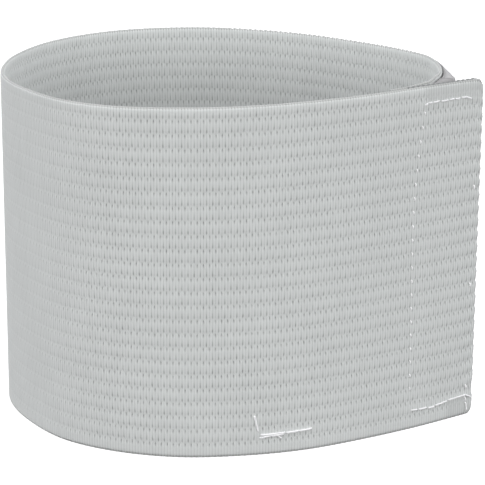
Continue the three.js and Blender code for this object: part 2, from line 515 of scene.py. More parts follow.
class Draft:
    """Vertices, faces, values and map places of a mesh on its way to Blender."""

    MAP_NAME = "OFBake"

    def __init__(self, shift: np.ndarray) -> None:
        """Starts an empty mesh.

        Args:
            shift: What takes plan millimetres to the model's own frame, also in millimetres.
        """
        self.shift = shift
        self.vertices: list[np.ndarray] = []
        self.faces: list[np.ndarray] = []
        self.maps: list[np.ndarray] = []
        self.values: dict[str, list[np.ndarray]] = {}
        self.count = 0

    def add(self, points: np.ndarray, **values: np.ndarray | float) -> np.ndarray:
        """Adds points.

        Args:
            points: Points in plan millimetres, in an array of any shape that ends in 3.
            values: Named numbers, one for each point.

        Returns:
            Their vertex numbers, in the array's shape.
        """
        shape = points.shape[:-1]
        amount = int(np.prod(shape))
        self.vertices.append(points.reshape(-1, 3))
        for name, value in values.items():
            self.values.setdefault(name, []).append(np.broadcast_to(value, shape).reshape(-1))
        numbers = np.arange(self.count, self.count + amount).reshape(shape)
        self.count += amount
        return numbers

    def polygons(self, corners: np.ndarray, places: np.ndarray | None = None) -> None:
        """Adds faces that all have the same number of corners.

        Args:
            corners: Vertex numbers, in an array whose last axis runs round each face.
            places: The corners' places on the map, if the mesh has one.
        """
        size = corners.shape[-1]
        self.faces.append(corners.reshape(-1, size))
        if places is not None:
            self.maps.append(places.reshape(-1, size, 2))

    def tubes(self, points: np.ndarray, **values: np.ndarray | float) -> None:
        """Adds closed tubes.

        Args:
            points: Plan points with the axes tube, station, side and coordinate.
            values: Named numbers, one for each point.
        """
        numbers = self.add(points, **values)
        around = np.concatenate([numbers, numbers[..., :1]], axis=-1)
        self.polygons(cell_corners(around))
        self.polygons(numbers[..., 0, :])
        self.polygons(numbers[..., -1, ::-1])

    def build(self, name: str, material: bpy.types.Material) -> bpy.types.Object:
        """Makes the object, smooth and with its faces pointing out.

        Args:
            name: The piece's name.
            material: Its material.

        Returns:
            The object.
        """
        points = (np.vstack(self.vertices) + self.shift) * MM
        turn = -1 if self._volume(points) < 0 else 1
        corners = np.concatenate([block[:, ::turn].reshape(-1) for block in self.faces])
        sizes = np.concatenate([np.full(len(block), block.shape[1]) for block in self.faces])
        starts = np.concatenate([[0], np.cumsum(sizes)[:-1]])
        mesh = bpy.data.meshes.new(name)
        mesh.vertices.add(len(points))
        mesh.vertices.foreach_set("co", points.reshape(-1).astype(np.float32))
        mesh.loops.add(len(corners))
        mesh.loops.foreach_set("vertex_index", corners.astype(np.int32))
        mesh.polygons.add(len(sizes))
        mesh.polygons.foreach_set("loop_start", starts.astype(np.int32))
        mesh.polygons.foreach_set("use_smooth", np.ones(len(sizes), bool))
        mesh.update(calc_edges=True)
        for value_name, parts in self.values.items():
            layer = mesh.attributes.new(value_name, "FLOAT", "POINT")
            layer.data.foreach_set("value", np.concatenate(parts).astype(np.float32))
        if self.maps:
            places = np.concatenate([block[:, ::turn].reshape(-1) for block in self.maps])
            mesh.uv_layers.new(name=self.MAP_NAME).data.foreach_set("uv", places.astype(np.float32))
        mesh.materials.append(material)
        piece = bpy.data.objects.new(name, mesh)
        bpy.context.scene.collection.objects.link(piece)
        return piece

    def _volume(self, points: np.ndarray) -> float:
        """Six times the volume inside the faces, negative where they point in.

        Args:
            points: The vertices' places.

        Returns:
            The volume.
        """
        total = 0.0
        for block in self.faces:
            for corner in range(1, block.shape[1] - 1):
                first, second, third = (points[block[:, index]] for index in (0, corner, corner + 1))
                total += float((first * np.cross(second, third)).sum())
        return total


def tube_points(centres: np.ndarray, up: np.ndarray, radius: np.ndarray | float, sides: int) -> np.ndarray:
    """The surface points of tubes along lines.

    Args:
        centres: Points with the axes tube, station and coordinate.
        up: A direction that no tube runs along, for all or for each point.
        radius: The tubes' radius, for all, or for each tube, station and side.
        sides: How many sides a tube has.

    Returns:
        Points with the axes tube, station, side and coordinate.
    """
    tangent = unit(np.gradient(centres, axis=-2))
    across = unit(np.cross(tangent, up))
    normal = np.cross(across, tangent)
    angle = np.linspace(0.0, 2 * math.pi, sides, endpoint=False)[:, None]
    ring = across[..., None, :] * np.cos(angle) + normal[..., None, :] * np.sin(angle)
    reach = np.asarray(radius, float)
    if reach.ndim:
        reach = reach[..., None]
    return centres[..., None, :] + ring * reach


class Socket:
    """A value of a shader, with arithmetic that adds Math nodes."""

    def __init__(self, shader: "Shader", socket: bpy.types.NodeSocket) -> None:
        """Wraps an output socket of the shader."""
        self.shader = shader
        self.socket = socket

    def math(self, operation: str, *others: "Socket | float") -> "Socket":
        """One Math node on this value.

        Args:
            operation: The node's operation.
            others: Its other values.

        Returns:
            The result.
        """
        values = dict(enumerate((self, *others)))
        return self.shader.value("ShaderNodeMath", {"operation": operation}, values)

    def __add__(self, other: "Socket | float") -> "Socket":
        """The sum."""
        return self.math("ADD", other)

    __radd__ = __add__

    def __mul__(self, other: "Socket | float") -> "Socket":
        """The product."""
        return self.math("MULTIPLY", other)

    __rmul__ = __mul__

    def __sub__(self, other: "Socket | float") -> "Socket":
        """The difference."""
        return self.math("SUBTRACT", other)

    def __rsub__(self, other: float) -> "Socket":
        """A number less this value."""
        return self * -1.0 + other

    def __truediv__(self, other: "Socket | float") -> "Socket":
        """The quotient."""
        return self.math("DIVIDE", other)

    def __mod__(self, other: float) -> "Socket":
        """The remainder, never negative."""
        return self.math("FLOORED_MODULO", other)

    def clamped(self) -> "Socket":
        """The value kept between 0 and 1."""
        return self.math("MAXIMUM", 0.0).math("MINIMUM", 1.0)

    def step(self, low: float, high: float) -> "Socket":
        """The eased share of the way from low to high.

        Args:
            low: The value that gives 0.
            high: The value that gives 1. It may be the smaller one.

        Returns:
            The share, from 0 to 1.
        """
        settings = {"interpolation_type": "SMOOTHSTEP"}
        if low < high:
            return self.shader.value("ShaderNodeMapRange", settings, {0: self, 1: low, 2: high})
        return 1.0 - self.step(high, low)


class Shader:
    """A material or world whose nodes are added one call at a time."""

    def __init__(self, owner: bpy.types.Material | bpy.types.World) -> None:
        """Empties the node tree.

        Args:
            owner: What the nodes belong to.
        """
        self.owner = owner
        owner.use_nodes = True
        self.tree = owner.node_tree
        self.tree.nodes.clear()

    @classmethod
    def named(cls, name: str) -> "Shader":
        """Starts a new material."""
        return cls(bpy.data.materials.new(name))

    def node(
        self, kind: str, settings: dict[str, object], inputs: dict[int | str, object]
    ) -> bpy.types.Node:
        """Adds a node.

        Args:
            kind: The node's type.
            settings: Its own settings, which are set first.
            inputs: Values or links of its sockets, by number or name.

        Returns:
            The node.
        """
        made = self.tree.nodes.new(kind)
        for name, setting in settings.items():
            setattr(made, name, setting)
        for key, given in inputs.items():
            if isinstance(given, Socket):
                self.tree.links.new(given.socket, made.inputs[key])
            else:
                made.inputs[key].default_value = given
        return made

    def value(
        self, kind: str, settings: dict[str, object], inputs: dict[int | str, object], output: int | str = 0
    ) -> Socket:
        """Adds a node and gives one of its outputs.

        Args:
            kind: The node's type.
            settings: Its own settings.
            inputs: Values or links of its sockets.
            output: The output that is wanted.

        Returns:
            The output.
        """
        return Socket(self, self.node(kind, settings, inputs).outputs[output])

    def stored(self, name: str) -> Socket:
        """A number that is stored on the mesh."""
        return self.value("ShaderNodeAttribute", {"attribute_name": name}, {}, "Fac")

    def place(self, x: Socket | float, y: Socket | float, z: Socket | float = 0.0) -> Socket:
        """Three numbers as a place for a texture."""
        return self.value("ShaderNodeCombineXYZ", {}, {"X": x, "Y": y, "Z": z})

    def noise(self, place: Socket, scale: float, detail: float = 2.0) -> Socket:
        """Soft noise from 0 to 1.

        Args:
            place: Where it is read.
            scale: How many lumps lie in one unit of the place.
            detail: How many finer layers it has.

        Returns:
            The noise.
        """
        inputs = {"Vector": place, "Scale": scale, "Detail": detail}
        return self.value("ShaderNodeTexNoise", {}, inputs, "Fac")

    def mix(self, share: Socket | float, low: object, high: object) -> Socket:
        """Two colours mixed.

        Args:
            share: How much of the second colour there is.
            low: The first colour.
            high: The second colour.

        Returns:
            The mixed colour.
        """
        return self.value("ShaderNodeMix", {"data_type": "RGBA"}, {0: share, 6: low, 7: high}, 2)

    def bump(self, height: Socket, distance: float, under: Socket | None = None) -> Socket:
        """A normal that is tilted by a height.

        Args:
            height: The height.
            distance: What a height of 1 stands for, in metres.
            under: The normal that it is added to.

        Returns:
            The normal.
        """
        inputs = {"Height": height, "Distance": distance, "Strength": 1.0}
        if under is not None:
            inputs["Normal"] = under
        return self.value("ShaderNodeBump", {}, inputs)

    def finish(self, inputs: dict[int | str, object]) -> bpy.types.Material:
        """Closes the material with one Principled surface.

        Args:
            inputs: Values or links of that surface's sockets.

        Returns:
            The material.
        """
        surface = self.value("ShaderNodeBsdfPrincipled", {}, inputs)
        self.node("ShaderNodeOutputMaterial", {}, {"Surface": surface})
        return self.owner


def screen_colour(red: int, green: int, blue: int) -> tuple[float, float, float, float]:
    """A screen colour as the linear one that a socket takes.

    Args:
        red: The red share, from 0 to 255.
        green: The green share.
        blue: The blue share.

    Returns:
        The linear colour.
    """
    shares = [part / 255 for part in (red, green, blue)]
    lit = [part / 12.92 if part <= 0.04045 else ((part + 0.055) / 1.055) ** 2.4 for part in shares]
    return (*lit, 1.0)


@dataclass(frozen=True)
class WeaveRows:
    """Where the yarns of the woven elastic part, in millimetres below its upper edge.

    The rows come in pairs: the upper row lies in the even furrows and the lower one in the odd furrows.
    """

    yarn_pitch: float = 0.67
    pair_pitch: float = 3.21
    first_row: float = 2.3
    row_gap: float = 0.56
    pairs: int = 24
    body_start: float = 1.0
    body_end: float = 78.2
    body_fade: float = 0.4


@dataclass(frozen=True)
class Grain:
    """One layer of soft noise on the weave.

    Its place is the yarn's number times per_yarn, the distance down times per_down, and its own layer.
    """

    per_yarn: float
    per_down: float
    layer: float
    scale: float
    detail: float

    def read(self, shader: Shader, yarn: Socket, down: Socket) -> Socket:
        """The noise from 0 to 1.

        Args:
            shader: The material that its nodes go into.
            yarn: The yarn's number.
            down: Distance below the upper edge, or the number of a row.

        Returns:
            The noise.
        """
        place = shader.place(yarn * self.per_yarn, down * self.per_down, self.layer)
        return shader.noise(place, self.scale, self.detail)


@dataclass(frozen=True)
class ElasticFinish:
    """Pale grey polyester yarn over rubber cords, matt, with thin dashes of painted shade where the yarns
    part.

    Lengths are in millimetres, and heights are counted down from the upper edge. The two lengths of a dash
    say how far it reaches above and below its row. Of any other pair, the first is where a fade starts and
    the second where it ends.
    """

    rows: WeaveRows = WeaveRows()
    yarn: tuple[float, ...] = screen_colour(210, 213, 211)
    # The dark colour that the painted shade and the random tone mix the yarn towards.
    pit: tuple[float, ...] = screen_colour(131, 133, 132)
    ground: float = 0.065
    # Painted shade: how strongly the furrows between the yarns darken the yarn.
    furrow: float = 0.27
    half_furrow: float = 0.17
    # Painted shade: how strongly the dashes darken the yarn in the pits.
    dash: float = 0.36
    half_dash: float = 0.15
    dash_core: float = 0.25
    upper_dash: tuple[float, float] = (1.8, 0.45)
    lower_dash: tuple[float, float] = (1.0, 0.95)
    dash_foot: float = 0.1
    least_dash: float = 0.3
    dash_spread: float = 1.4
    # Painted highlight: how strongly the ridges lighten the yarn.
    ridge_highlight: float = 0.3
    half_ridge: float = 0.17
    ridge_core: float = 0.3
    ridge_slope: float = 0.25
    ridge_head: float = -0.5
    ridge_offset: float = 0.08
    ridge_start: tuple[float, float] = (-0.7, -0.4)
    ridge_end: tuple[float, float] = (0.95, 0.5)
    seam_place: float = 0.0
    upper_seam: float = 4.3
    lower_seam: float = 75.0
    lower_seam_start: float = 8.0
    seam_fade: float = 0.6
    seam_end_fade: float = 2.0
    flat_shade: float = 0.13
    bend_softness: float = 0.8
    bend_shade: float = 0.075
    bend_back: tuple[float, float] = (86.0, 114.0)
    bend_end: tuple[float, float] = (158.0, 134.0)
    fibre: Grain = Grain(per_yarn=WeaveRows.yarn_pitch, per_down=0.06, layer=0.0, scale=14.0, detail=3.0)
    dash_grain: Grain = Grain(per_yarn=1.0, per_down=1.7, layer=5.0, scale=1.3, detail=0.0)
    yarn_grain: Grain = Grain(per_yarn=1.0, per_down=0.12, layer=3.0, scale=0.9, detail=1.0)
    cloud: Grain = Grain(per_yarn=0.05, per_down=0.07, layer=9.0, scale=1.0, detail=2.0)
    mottle: float = 0.12
    fibre_depth: float = 0.03
    dash_depth: float = 0.04
    ridge_height: float = 0.04
    roughness: float = 0.82
    roughness_spread: float = 0.12
    sheen: float = 0.12
    sheen_roughness: float = 0.5
    specular: float = 0.3
    hem_shade: float = 0.0
    hem_fade: float = 1.0

    def material(self, name: str) -> bpy.types.Material:
        """Makes the finish, which reads where it is from the mesh.

        Args:
            name: The material's name.

        Returns:
            The material.
        """
        shader = Shader.named(name)
        yarn, down = shader.stored("yarn"), shader.stored("down")
        even = yarn.math("PINGPONG", 1.0) * self.rows.yarn_pitch
        odd = self.rows.yarn_pitch - even
        furrow = even.math("MINIMUM", odd).step(self.half_furrow, 0.0)
        flat, stretched = self._sewn_down(yarn, down), self._stretched(yarn)
        marked = (1.0 - flat) * (1.0 - stretched)
        dashes, ridges = self._dashes(down, even, odd) * marked, self._ridges(down, odd) * marked
        fibre = self.fibre.read(shader, yarn, down)
        number, pair = yarn.math("ROUND"), (down / self.rows.pair_pitch).math("ROUND")
        strength = self.dash_grain.read(shader, number, pair) * self.dash_spread + self.least_dash
        layers = (fibre, self.yarn_grain.read(shader, number, down), self.cloud.read(shader, yarn, down))
        tone = (sum(layers) - NOISE_MEAN * len(layers)) * self.mottle
        # Painted shade: the furrows, the dashes, the left bend and the hem darken the yarn towards pit, and
        # the ridges lighten it as a painted highlight.
        ground = flat * self.flat_shade + stretched * self.bend_shade + self.ground
        dark = ground + furrow * self.furrow + dashes * strength * self.dash - ridges * self.ridge_highlight - tone
        if self.hem_shade:
            dark = dark + self._back(yarn).step(self.hem_fade, -self.hem_fade) * self.hem_shade
        height = fibre * self.fibre_depth - dashes * self.dash_depth + ridges * self.ridge_height
        surface = {
            "Base Color": shader.mix(dark.clamped(), self.yarn, self.pit),
            "Roughness": fibre * self.roughness_spread + (self.roughness - self.roughness_spread / 2),
            "Normal": shader.bump(height, MM),
            "Sheen Weight": self.sheen,
            "Sheen Roughness": self.sheen_roughness,
            "Specular IOR Level": self.specular,
        }
        return shader.finish(surface)

    def _from_row(self, down: Socket, row: float) -> Socket:
        """How far below the nearest repeat of a row a place lies, negative above it."""
        half = self.rows.pair_pitch / 2
        return (down - (row - half)) % self.rows.pair_pitch - half

    def _body(self, down: Socket) -> Socket:
        """1 where the rows repeat and 0 along the two edges."""
        start, end, fade = self.rows.body_start, self.rows.body_end, self.rows.body_fade
        return down.step(start, start + fade) * down.step(end, end - fade)

    def _back(self, yarn: Socket) -> Socket:
        """How far back from the tab's fold a yarn lies, negative on the hem."""
        return (self.seam_place + TAB_SEAM_LENGTH) - yarn * self.rows.yarn_pitch

    def _sewn_down(self, yarn: Socket, down: Socket) -> Socket:
        """1 between the tab's seams and its rims, where the cloth is pulled flat and has no dashes.

        Args:
            yarn: The yarn's number.
            down: Distance below the upper edge.

        Returns:
            The share, from 0 to 1.
        """
        place = yarn * self.rows.yarn_pitch - self.seam_place
        start = self.lower_seam_start
        above = down.step(self.upper_seam, self.upper_seam - self.seam_fade)
        below = down.step(self.lower_seam, self.lower_seam + self.seam_fade)
        above = above * place.step(0.0, self.seam_end_fade)
        below = below * place.step(start, start + self.seam_end_fade)
        return above.math("MAXIMUM", below)

    def _stretched(self, yarn: Socket) -> Socket:
        """How much softer the weave is round the left bend, where the cloth is stretched, and how much
        painted shade it gets there.
        """
        back = self._back(yarn)
        return back.step(*self.bend_back) * back.step(*self.bend_end) * self.bend_softness

    def _dash(self, across: Socket, offset: Socket, length: tuple[float, float]) -> Socket:
        """One row of dashes, which fade out at their ends.

        Args:
            across: Distance from the furrow that they lie in.
            offset: Distance below the row.
            length: How far they reach above and below the row.

        Returns:
            The dashes, from 0 to 1.
        """
        above, below = length
        tall = offset.step(-above, 0.0) * offset.step(below, self.dash_foot)
        return across.step(self.half_dash, self.half_dash * self.dash_core) * tall

    def _dashes(self, down: Socket, even: Socket, odd: Socket) -> Socket:
        """All the dashes of a face.

        Args:
            down: Distance below the upper edge.
            even: Distance from the nearest even furrow.
            odd: Distance from the nearest odd furrow.

        Returns:
            The dashes, from 0 to 1.
        """
        row = self.rows.first_row
        upper = self._dash(even, self._from_row(down, row), self.upper_dash)
        lower = self._dash(odd, self._from_row(down, row + self.rows.row_gap), self.lower_dash)
        return (upper + lower) * self._body(down)

    def _ridges(self, down: Socket, odd: Socket) -> Socket:
        """The raised yarns that spread from the head of each lower dash, which get a bump and a painted
        highlight.

        Args:
            down: Distance below the upper edge.
            odd: Distance from the nearest odd furrow.

        Returns:
            The ridges, from 0 to 1.
        """
        offset = self._from_row(down, self.rows.first_row + self.rows.row_gap)
        middle = (offset - self.ridge_head) * self.ridge_slope + self.ridge_offset
        across = (odd - middle).math("ABSOLUTE").step(self.half_ridge, self.half_ridge * self.ridge_core)
        return across * offset.step(*self.ridge_start) * offset.step(*self.ridge_end) * self._body(down)


@dataclass(frozen=True)
class TapeFinish:
    """Nylon tape: a fine plain ground, or the filaments that stand on it."""

    colour: tuple[float, ...]
    shade: tuple[float, ...]
    grain: float
    grain_depth: float
    roughness: float
    sheen: float
    grain_detail: float = 4.0
    grain_share: float = 0.7
    cloud: float = 90.0
    cloud_share: float = 0.5
    least_share: float = -0.1
    roughness_spread: float = 0.2
    specular: float = 0.35

    def material(self, name: str) -> bpy.types.Material:
        """Makes the finish.

        Args:
            name: The material's name.

        Returns:
            The material.
        """
        shader = Shader.named(name)
        place = shader.value("ShaderNodeTexCoord", {}, {}, "Object")
        grain = shader.noise(place, self.grain, self.grain_detail)
        cloud = shader.noise(place, self.cloud)
        share = (grain * self.grain_share + cloud * self.cloud_share + self.least_share).clamped()
        surface = {
            "Base Color": shader.mix(share, self.shade, self.colour),
            "Roughness": grain * self.roughness_spread + (self.roughness - self.roughness_spread / 2),
            "Normal": shader.bump(grain, self.grain_depth),
            "Sheen Weight": self.sheen,
            "Specular IOR Level": self.specular,
        }
        return shader.finish(surface)


@dataclass(frozen=True)
class ThreadFinish:
    """White two-ply sewing thread, with a slight gloss on its plies and painted shade in the grooves
    between them.
    """

    colour: tuple[float, ...] = screen_colour(243, 243, 243)
    # The colour of the painted shade in the grooves between the plies.
    groove: tuple[float, ...] = screen_colour(210, 212, 213)
    groove_share: float = 0.8
    fibre: float = 9000.0
    fibre_share: float = 0.3
    fibre_depth: float = 0.01 * MM
    roughness: float = 0.55
    roughness_spread: float = 0.2
    sheen: float = 0.2

    def material(self, name: str) -> bpy.types.Material:
        """Makes the finish, which reads the plies from the mesh.

        Args:
            name: The material's name.

        Returns:
            The material.
        """
        shader = Shader.named(name)
        place = shader.value("ShaderNodeTexCoord", {}, {}, "Object")
        fibre = shader.noise(place, self.fibre)
        # Painted shade in the grooves between the plies, with fibre noise on top.
        share = shader.stored("groove") * self.groove_share + (fibre - NOISE_MEAN) * self.fibre_share
        surface = {
            "Base Color": shader.mix(share.clamped(), self.colour, self.groove),
            "Roughness": fibre * self.roughness_spread + (self.roughness - self.roughness_spread / 2),
            "Normal": shader.bump(fibre, self.fibre_depth),
            "Sheen Weight": self.sheen,
        }
        return shader.finish(surface)


@dataclass(frozen=True)
class PairRow:
    """One row of vertices in each pair of the weave's rows.

    The first three numbers say how far below the pair it lies in an even furrow, in an odd furrow and on a
    yarn. The next two say how deep its pit is in each furrow, and the last one says which way the yarns
    beside it bow.
    """

    even: float
    odd: float
    yarn: float
    even_pit: float
    odd_pit: float
    bow: float


PAIR_ROWS = (
    PairRow(even=-0.62, odd=-0.5, yarn=-0.56, even_pit=0.12, odd_pit=0.0, bow=0.0),
    PairRow(even=-0.05, odd=0.05, yarn=0.12, even_pit=1.0, odd_pit=0.12, bow=1.0),
    PairRow(even=0.42, odd=0.62, yarn=0.66, even_pit=0.0, odd_pit=1.0, bow=-1.0),
    PairRow(even=1.75, odd=1.3, yarn=1.5, even_pit=0.0, odd_pit=0.0, bow=0.0),
)


def pair_values(name: str) -> np.ndarray:
    """One column of the table of pair rows."""
    return np.array([getattr(row, name) for row in PAIR_ROWS])


@dataclass
class ElasticStrip:
    """The woven strip: an outer and an inner face of yarns, each a closed half of its thickness.

    All depths and lengths are in millimetres.
    """

    route: Route
    shift: np.ndarray
    finish: ElasticFinish
    fold_place: float
    seam_gap: float = 0.02
    float_drop: float = 0.02
    furrow_drop: float = 0.11
    pit_drop: float = 0.16
    pit_spread: tuple[float, float] = (0.75, 1.15)
    unevenness: float = 0.012
    bow: float = 0.13
    edge_inset: float = 0.36
    edge_round: float = 0.12
    edge_round_end: float = 1.0
    upper_edge_rows: tuple[float, float] = (0.7, 1.05)
    lower_edge_rows: tuple[float, float] = (78.7, 79.2)
    edge_bound: float = 0.45
    edge_bound_run: tuple[float, float] = (1.0, 3.0)
    bound_run: tuple[float, float] = (0.45, 1.35)
    seam_pit_run: float = 1.0
    most_relief: float = 0.42
    inner_drop: float = 0.03
    hem_relief: float = 0.45
    hem_run: float = 6.0
    fold_reach: float = 3.2
    fold_swell: float = 11.9
    pinch_height: float = 5.0
    pinch: float = 0.3
    covered_yarns: int = 32

    def build(self) -> list[bpy.types.Object]:
        """Builds the two faces.

        Returns:
            The outer and the inner face.
        """
        material = self.finish.material("woven_elastic")
        return [self._half(face, material) for face in Face]

    def _columns(self, face: Face) -> np.ndarray:
        """Column numbers in yarns: whole ones in the furrows and halves on the yarns.

        The halves are left out where the face is covered: the outer one under the loop tape and on the hem,
        and the inner one inside the hem.

        Args:
            face: Which face it is.

        Returns:
            The numbers.
        """
        pitch = self.finish.rows.yarn_pitch
        yarns = round(self.route.length / pitch)
        columns = np.arange(2 * yarns + 1) / 2
        hem = HEM_LENGTH if face is Face.OUTER else 2 * HEM_LENGTH + HEM_DEPTH
        first = self.covered_yarns if face is Face.OUTER else 0
        open_to_view = (columns >= first) & (columns <= yarns - hem / pitch)
        return columns[(np.mod(columns, 1.0) == 0.0) | open_to_view]

    def _stations(self, columns: np.ndarray) -> tuple[np.ndarray, np.ndarray, np.ndarray]:
        """Where each column has its vertices, and what lies there.

        Args:
            columns: The columns' numbers.

        Returns:
            Distances below the upper edge, pit shares and sideways bows, for each column and row.
        """
        rows = self.finish.rows
        phase = np.mod(columns, 2.0)[:, None]
        kinds = [phase == 0.0, phase == 1.0]
        pair = np.select(kinds, [pair_values("even"), pair_values("odd")], pair_values("yarn"))
        pair_pit = np.select(kinds, [pair_values("even_pit"), pair_values("odd_pit")], 0.0)
        side = np.where(phase == 0.5, 1.0, 0.0) - np.where(phase == 1.5, 1.0, 0.0)
        starts = rows.first_row + rows.pair_pitch * np.arange(rows.pairs)
        body = (starts[:, None] + pair[:, None, :]).reshape(len(columns), -1)
        upper = np.tile([self.edge_inset, *self.upper_edge_rows], (len(columns), 1))
        lower = np.tile([*self.lower_edge_rows, BAND_HEIGHT - self.edge_inset], (len(columns), 1))
        plain = np.zeros_like(upper)
        pit = np.hstack([plain, np.tile(pair_pit, (1, rows.pairs)), plain])
        bow = np.hstack([plain, np.tile(side * pair_values("bow"), (1, rows.pairs)), plain])
        return np.hstack([upper, body, lower]), pit, bow * self.bow

    def _half(self, face: Face, material: bpy.types.Material) -> bpy.types.Object:
        """Builds one face as a closed slab of half the strip's thickness.

        Args:
            face: Which face it is.
            material: Its finish.

        Returns:
            The piece.
        """
        rng = np.random.default_rng(SEED + list(Face).index(face))
        columns = self._columns(face)
        route = self.route.sampled(columns / columns[-1] * self.route.length)
        down, pit, bow = self._stations(columns)
        pit = pit * rng.uniform(*self.pit_spread, pit.shape) * (1 - self._sewn_down(route.places, down))
        uneven = rng.uniform(-self.unevenness, self.unevenness, pit.shape)
        relief = self._relief(columns, down, pit) + uneven
        relief = relief * (1 - self._stretched(route.places))[:, None]
        relief = np.clip(relief + self._fold_relief(route.places, down), 0.0, self.most_relief)
        outer = face is Face.OUTER
        if not outer:
            hem_start = self.route.length - HEM_LENGTH
            hem = smooth_step(hem_start - self.hem_run, hem_start, route.places)[:, None]
            relief = relief * (1 - (1 - self.hem_relief) * hem) + self.inner_drop
        half = ELASTIC_THICKNESS / 2
        depth = relief if outer else ELASTIC_THICKNESS - relief
        back_depth = half - self.seam_gap if outer else half + self.seam_gap
        heights = BAND_HEIGHT - down
        ends = heights[:, [0, -1]]
        draft = Draft(self.shift)
        front = draft.add(route.surface(heights, depth, along=bow), yarn=columns[:, None], down=down)
        back = draft.add(route.surface(ends, back_depth), yarn=columns[:, None], down=BAND_HEIGHT - ends)
        self._skin(draft, front, back, down / BAND_HEIGHT)
        return draft.build(f"{face.value}_weave", material)

    def _sewn_down(self, places: np.ndarray, down: np.ndarray) -> np.ndarray:
        """1 between the tab's seams and its rims, and 0 elsewhere.

        Args:
            places: The columns' places along the strip.
            down: Distances below the upper edge.

        Returns:
            The shares, for each column and row.
        """
        place = places[:, None] - self.finish.seam_place - self.seam_pit_run
        above = (place > 0.0) & (down < self.finish.upper_seam)
        below = (place > self.finish.lower_seam_start) & (down > self.finish.lower_seam)
        return (above | below).astype(float)

    def _stretched(self, places: np.ndarray) -> np.ndarray:
        """How much flatter the weave is round the left bend, where the cloth is stretched.

        Args:
            places: The columns' places along the strip.

        Returns:
            The shares, one for each column.
        """
        back = self.finish.seam_place + TAB_SEAM_LENGTH - places
        end, start = self.finish.bend_end
        bent = smooth_step(*self.finish.bend_back, back) * (1 - smooth_step(start, end, back))
        return bent * self.finish.bend_softness

    def _relief(self, columns: np.ndarray, down: np.ndarray, pit: np.ndarray) -> np.ndarray:
        """How far each vertex lies below the tops of the yarns.

        Args:
            columns: The columns' numbers.
            down: Distances below the upper edge.
            pit: Pit shares.

        Returns:
            The depths.
        """
        edge = np.minimum(down, BAND_HEIGHT - down)
        rounded = self.edge_round * (1.0 - smooth_step(self.edge_inset, self.edge_round_end, edge))
        furrow = (np.mod(columns, 1.0) == 0.0)[:, None]
        bound = self.float_drop * self._bound(down)
        return bound + self.furrow_drop * furrow + self.pit_drop * pit + rounded

    def _fold_relief(self, places: np.ndarray, down: np.ndarray) -> np.ndarray:
        """How much further the cloth is drawn in at the tab's fold, where it swells between the rows.

        Args:
            places: The columns' places along the strip.
            down: Distances below the upper edge.

        Returns:
            The depths, for each column and row.
        """
        near_fold = np.exp(-(((places - self.fold_place) / self.fold_reach) ** 2))[:, None]
        pinched = self.pinch * np.exp(-((BAND_HEIGHT - down - self.pinch_height) ** 2))
        return near_fold * (self.fold_swell * self._bound(down) * self.float_drop + pinched)

    def _bound(self, down: np.ndarray) -> np.ndarray:
        """How tightly the cloth is bound: 1 on a pair of rows and 0 halfway to the next.

        Args:
            down: Distances below the upper edge.

        Returns:
            The shares.
        """
        rows = self.finish.rows
        half = rows.pair_pitch / 2
        offset = np.mod(down - (rows.first_row + rows.row_gap / 2) + half, rows.pair_pitch)
        bound = 1.0 - smooth_step(*self.bound_run, np.abs(offset - half))
        body = smooth_step(*self.edge_bound_run, np.minimum(down, BAND_HEIGHT - down))
        return bound * body + self.edge_bound * (1 - body)

    def _skin(self, draft: Draft, front: np.ndarray, back: np.ndarray, share: np.ndarray) -> None:
        """Closes a slab with faces, whose map has the strip cut into two lengths.

        Args:
            draft: The mesh.
            front: The vertex numbers of the woven side.
            back: Those of the plain side's upper and lower edge.
            share: The woven vertices' shares of the way down.
        """
        stations = len(front)
        length = np.arange(stations) / (stations - 1) * 2
        second = (np.arange(stations - 1) >= (stations - 1) / 2)[:, None, None]
        lane, start = np.where(second, MAP_LANE, 0.0), np.where(second, 1.0, 0.0)

        def chart(across: np.ndarray, low: float, high: float) -> np.ndarray:
            """Map places of the cells of a block that runs along the strip.

            Args:
                across: Shares of the block's width, for each station and row.
                low: Where the block starts in its lane.
                high: Where it ends.

            Returns:
                The corners' places.
            """
            along = cell_corners(np.broadcast_to(length[:, None], across.shape)) - start
            up = cell_corners(low + (high - low) * across)
            return np.stack([MAP_MARGIN + MAP_LENGTH * along, up + lane], axis=-1)

        rim = np.broadcast_to([0.0, 1.0], (stations, 2))
        blocks = (
            (front, share, MAP_FRONT),
            (back[:, ::-1], rim, MAP_BACK),
            (np.stack([back[:, 0], front[:, 0]], axis=-1), rim, MAP_UPPER_RIM),
            (np.stack([front[:, -1], back[:, 1]], axis=-1), rim, MAP_LOWER_RIM),
        )
        for numbers, across, (low, high) in blocks:
            draft.polygons(mirrored(cell_corners(numbers)), mirrored(chart(across, low, high)))
        low, high = MAP_FRONT
        for station, order, lane_start, edge in ((0, 1, 0.0, 0.0), (-1, -1, MAP_LANE, MAP_END)):
            cap = np.concatenate([front[station], back[station, ::-1]])[::order]
            up = np.concatenate([share[station], share[station, [-1, 0]]])[::order]
            out = np.concatenate([np.zeros(front.shape[1]), np.full(2, MAP_CAP_WIDTH)])[::order]
            places = np.stack([edge + out, lane_start + low + (high - low) * up], axis=-1)
            draft.polygons(cap[None], places[None])


